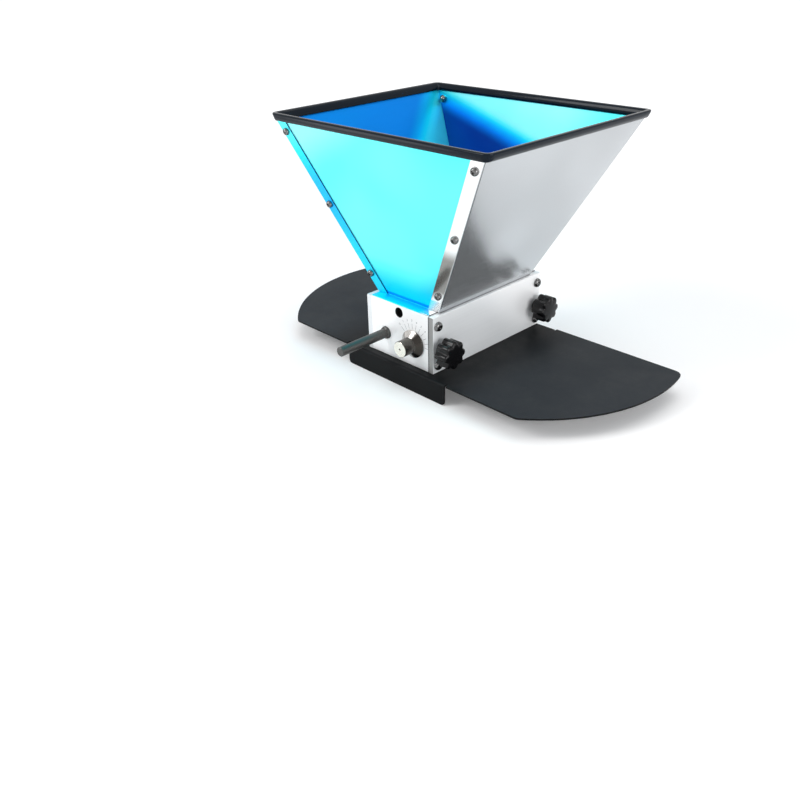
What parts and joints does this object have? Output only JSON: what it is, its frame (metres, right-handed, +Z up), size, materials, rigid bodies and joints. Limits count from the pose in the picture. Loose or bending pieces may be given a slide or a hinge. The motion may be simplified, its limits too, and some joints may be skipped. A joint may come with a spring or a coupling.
{
  "type": "malt mill",
  "caption": "Two-roller malt mill with a flared sheet-metal hopper, gap dials on an eccentric roller, star-knob clamps and a winged base plate that sits across a bucket.",
  "frame": {"origin": "bottom centre of the whole mill's box, on the surface that the skirts stand on", "axes": "+X to the right along the wings, on the side with the star knobs, +Y to the rear along the rollers, away from the drive shaft's free end, +Z up to the hopper's mouth"},
  "size_m": [0.436, 0.2528, 0.2455],
  "materials": {
    "powder_coat": "charcoal powder coat, semi-matt, on folded steel sheet",
    "body_plate": "satin machined plate, near white in the light",
    "filmed_steel": "steel sheet still under its blue protective film",
    "bare_steel": "satin stainless sheet, film peeled off",
    "screw_steel": "plated steel fasteners",
    "shaft_steel": "ground round steel",
    "roller_steel": "knurled steel",
    "dial_steel": "turned steel, polished bevel, darker handle",
    "bronze": "plain bearing bronze",
    "black_rubber": "glossy black edge trim",
    "black_plastic": "glossy black moulded knobs",
    "pad_plastic": "plain soft pads, hidden"
  },
  "bodies": {
    "mill": {"base_plate": "powder_coat", "front_end_plate": "body_plate", "rear_end_plate": "body_plate", "right_side_plate": "body_plate", "left_side_plate": "body_plate", "side_plate_screws": "screw_steel", "base_screws": "screw_steel", "tie_rod": "shaft_steel", "tie_rod_screws": "screw_steel", "front_drive_bush": "bronze", "rear_drive_bush": "bronze", "hopper_front_panel": "filmed_steel", "hopper_rear_panel": "filmed_steel", "hopper_right_panel": "bare_steel", "hopper_left_panel": "filmed_steel", "hopper_screws": "screw_steel", "hopper_cap_nuts": "screw_steel", "rim_trim": "black_rubber"},
    "drive_roller": {"drive_roller": "roller_steel", "drive_shaft": "shaft_steel"},
    "idler_roller": {"idler_roller": "roller_steel", "idler_shaft": "shaft_steel"},
    "front_adjuster": {"front_gap_dial": "dial_steel", "front_idler_sleeve": "bronze"},
    "front_clamp_pad": {"front_clamp_pad": "pad_plastic"},
    "front_clamp_screw": {"front_clamp_stud": "shaft_steel", "front_star_knob": "black_plastic"},
    "rear_adjuster": {"rear_gap_dial": "dial_steel", "rear_idler_sleeve": "bronze"},
    "rear_clamp_pad": {"rear_clamp_pad": "pad_plastic"},
    "rear_clamp_screw": {"rear_clamp_stud": "shaft_steel", "rear_star_knob": "black_plastic"}
  },
  "joints": [
    {"name": "drive_spin", "type": "hinge", "parent": "mill", "child": "drive_roller", "pos_m": [-0.0187, 0.01358, 0.046], "axis": [0, 1, 0], "continuous": true},
    {"name": "front_dial_turn", "type": "hinge", "parent": "mill", "child": "front_adjuster", "pos_m": [0.0187, -0.06642, 0.046], "axis": [0, -1, 0], "range_deg": [-70, 70]},
    {"name": "rear_dial_turn", "type": "hinge", "parent": "mill", "child": "rear_adjuster", "pos_m": [0.0187, 0.09358, 0.046], "axis": [0, -1, 0], "range_deg": [-71, 71]},
    {"name": "idler_spin", "type": "hinge", "parent": "front_adjuster", "child": "idler_roller", "pos_m": [0.0187, 0.01358, 0.0448], "axis": [0, 1, 0], "continuous": true},
    {"name": "front_clamp_travel", "type": "slide", "parent": "mill", "child": "front_clamp_pad", "axis": [1, 0, 0], "range_m": [0, 0.00205]},
    {"name": "front_clamp_turn", "type": "hinge", "parent": "front_clamp_pad", "child": "front_clamp_screw", "pos_m": [0.045, -0.05842, 0.046], "axis": [1, 0, 0], "range_deg": [0, 720]},
    {"name": "rear_clamp_travel", "type": "slide", "parent": "mill", "child": "rear_clamp_pad", "axis": [1, 0, 0], "range_m": [0, 0.00205]},
    {"name": "rear_clamp_turn", "type": "hinge", "parent": "rear_clamp_pad", "child": "rear_clamp_screw", "pos_m": [0.045, 0.08558, 0.046], "axis": [1, 0, 0], "range_deg": [0, 720]}
  ],
  "couplings": [
    {"joint": "rear_dial_turn", "follows": "front_dial_turn", "ratio": 1},
    {"joint": "front_clamp_travel", "follows": "front_clamp_turn", "m_per_rad": 0.00015915},
    {"joint": "rear_clamp_travel", "follows": "rear_clamp_turn", "m_per_rad": 0.00015915}
  ]
}
